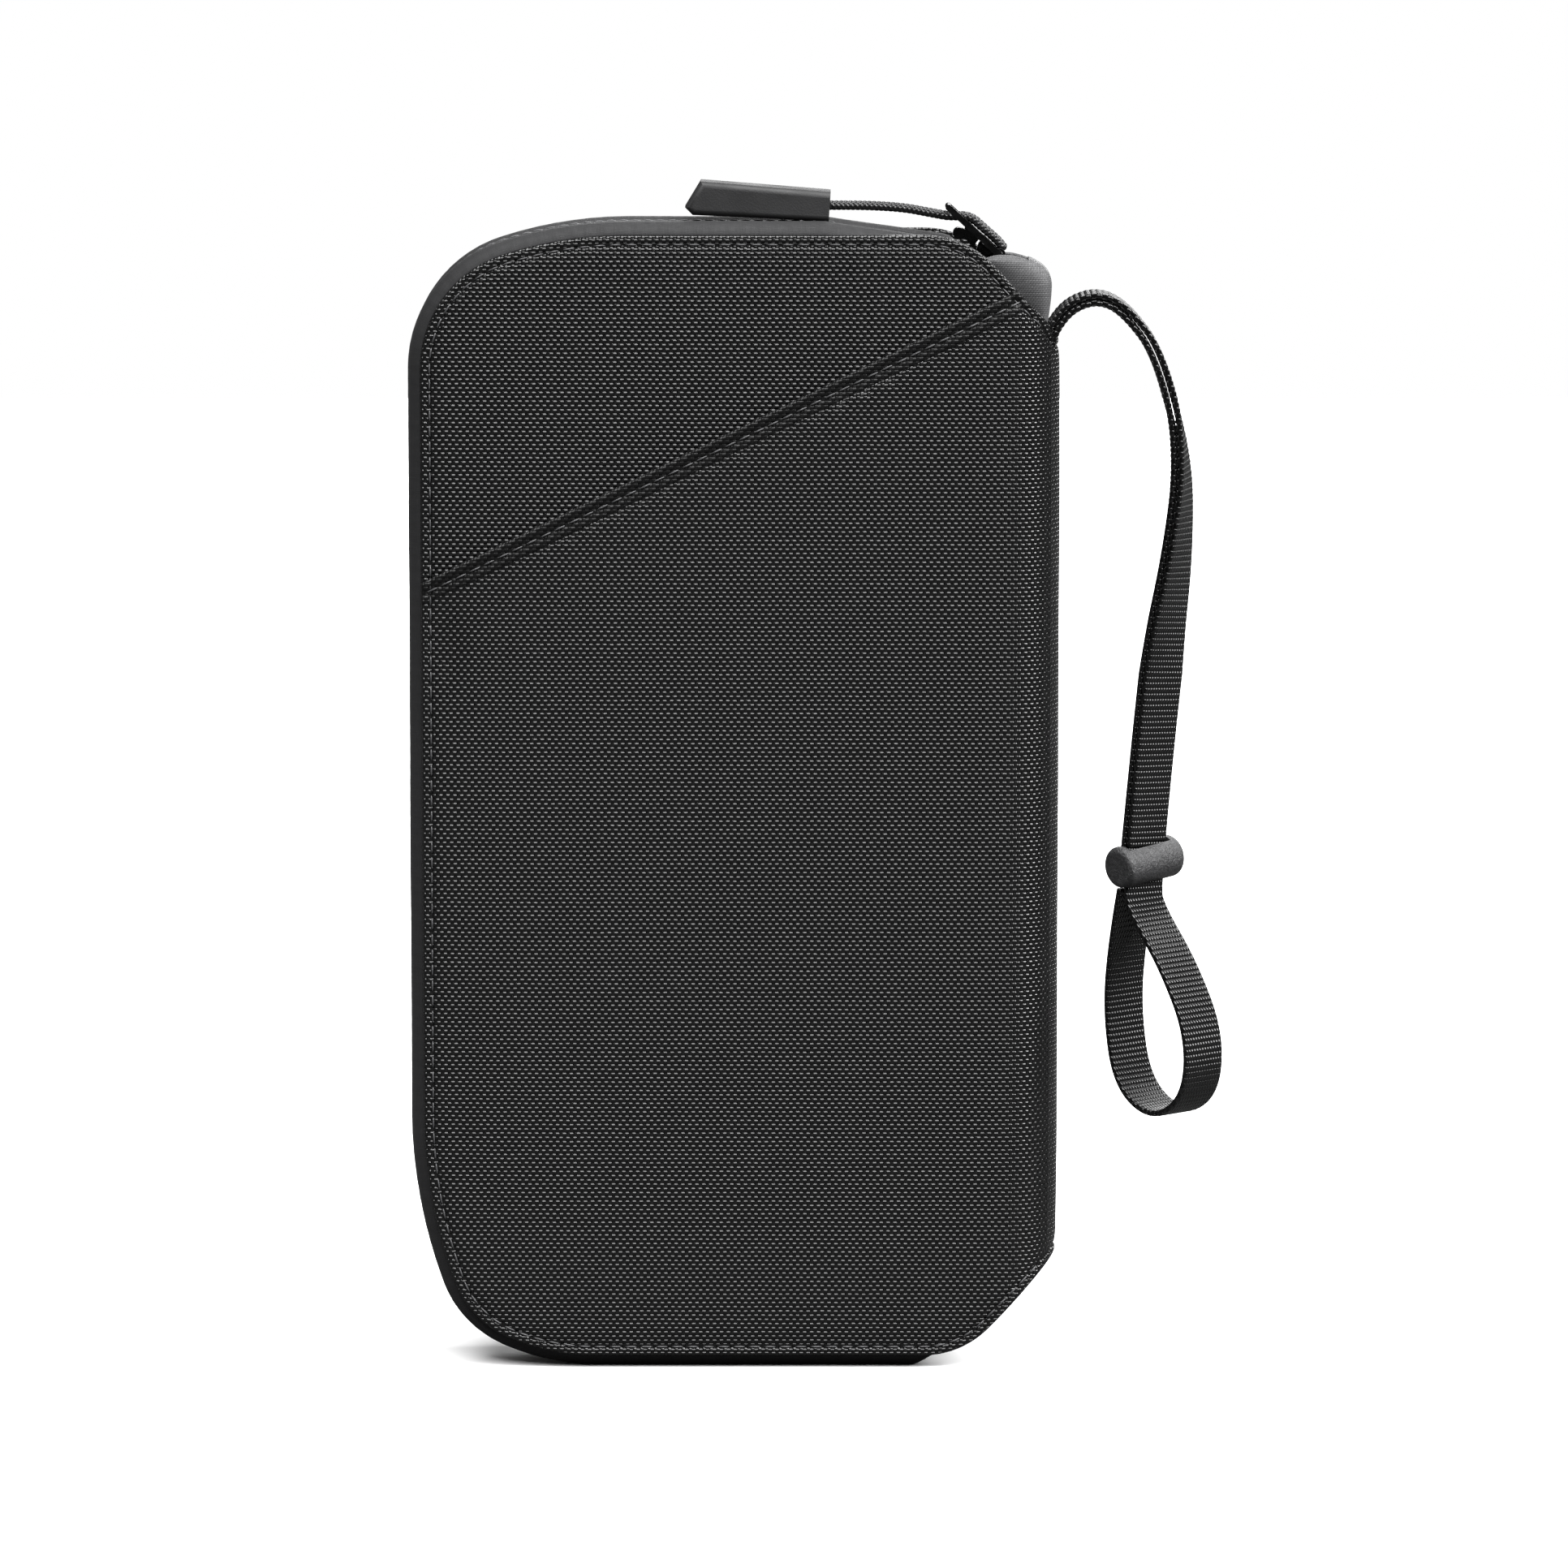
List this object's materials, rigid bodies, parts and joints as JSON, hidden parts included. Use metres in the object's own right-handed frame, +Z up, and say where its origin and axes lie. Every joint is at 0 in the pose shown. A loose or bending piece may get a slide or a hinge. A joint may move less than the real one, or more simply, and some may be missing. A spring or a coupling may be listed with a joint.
{
  "type": "passport holder wallet",
  "caption": "Slim zip-around cloth passport wallet with a slanted outer slip pocket, rounded spine, corded zip pull and a webbing wrist strap with a barrel lock.",
  "frame": {"origin": "middle of the closed pouch's footprint, on the surface it stands on", "axes": "+X towards the spine and wrist strap, +Y through the back cover, +Z up along the tall side"},
  "size_m": [0.1597, 0.0283, 0.2341],
  "materials": {
    "shell_cloth": "coarse plain-weave nylon, glossy yarn",
    "zip_tape": "smooth matte fine weave",
    "zip_coil": "nylon coil",
    "black_metal": "satin black plated zinc",
    "foam": "closed foam board",
    "lining": "smooth twill lining",
    "elastic": "ribbed elastic",
    "webbing": "ribbed glossy nylon webbing",
    "cord": "braided cord",
    "pull_rubber": "matte moulded rubber",
    "barrel_plastic": "frosted, sparkle-eroded"
  },
  "bodies": {
    "back_cover": {"back_panel": "shell_cloth", "back_stiffener": "foam", "back_lining": "lining", "back_zip_tape": "zip_tape", "back_zip_coil": "zip_coil", "back_top_stop": "black_metal", "ticket_pocket": "lining", "passport_pocket": "lining", "pen_loop": "elastic", "zip_garage": "zip_tape", "zip_end_tab": "zip_tape"},
    "spine": {"spine_panel": "shell_cloth", "spine_lining": "lining", "strap_anchor": "webbing", "strap_outer_arch": "webbing", "strap_inner_arch": "webbing"},
    "front_cover": {"front_panel": "shell_cloth", "front_slip_pocket": "shell_cloth", "slip_pocket_hem": "shell_cloth", "front_stiffener": "foam", "front_lining": "lining", "front_zip_tape": "zip_tape", "front_zip_coil": "zip_coil", "front_top_stop": "black_metal", "card_panel": "lining", "card_slot_1": "lining", "card_slot_2": "lining", "card_slot_3": "lining", "card_slot_4": "lining"},
    "zip_slider": {"slider_body": "black_metal", "slider_bridge": "black_metal"},
    "puller": {"puller_frame": "black_metal", "puller_cam": "black_metal", "pull_cord_wrap": "cord"},
    "pull": {"pull_cord": "cord", "pull_tab": "pull_rubber"},
    "wrist_strap": {"strap_outer_leg": "webbing", "strap_inner_leg": "webbing", "strap_loop": "webbing"},
    "barrel": {"barrel_slider": "barrel_plastic"}
  },
  "joints": [
    {"name": "spine_fold", "type": "hinge", "parent": "back_cover", "child": "spine", "pos_m": [0.0525, 0.01105, 0.11], "axis": [0, 0, 1], "range_deg": [0, 90]},
    {"name": "cover_fold", "type": "hinge", "parent": "spine", "child": "front_cover", "pos_m": [0.0525, -0.01105, 0.11], "axis": [0, 0, 1], "range_deg": [0, 90]},
    {"name": "zip_run", "type": "slide", "parent": "back_cover", "child": "zip_slider", "axis": [-0.9613, 0, 0.2756], "range_m": [0, 0.031]},
    {"name": "puller_hinge", "type": "hinge", "parent": "zip_slider", "child": "puller", "pos_m": [0.052, 0, 0.2197], "axis": [0, 1, 0], "range_deg": [0, 105]},
    {"name": "pull_hinge", "type": "hinge", "parent": "puller", "child": "pull", "pos_m": [0.04201, 0, 0.22893], "axis": [0, 1, 0], "range_deg": [0, 75]},
    {"name": "strap_swing", "type": "hinge", "parent": "spine", "child": "wrist_strap", "pos_m": [0.08037, 0, 0.20645], "axis": [0, 1, 0], "range_deg": [-60, 0]},
    {"name": "barrel_slide", "type": "slide", "parent": "wrist_strap", "child": "barrel", "axis": [0.0896, 0, 0.996], "range_m": [0, 0.025]}
  ],
  "couplings": [
    {"joint": "spine_fold", "follows": "cover_fold", "ratio": 1}
  ]
}
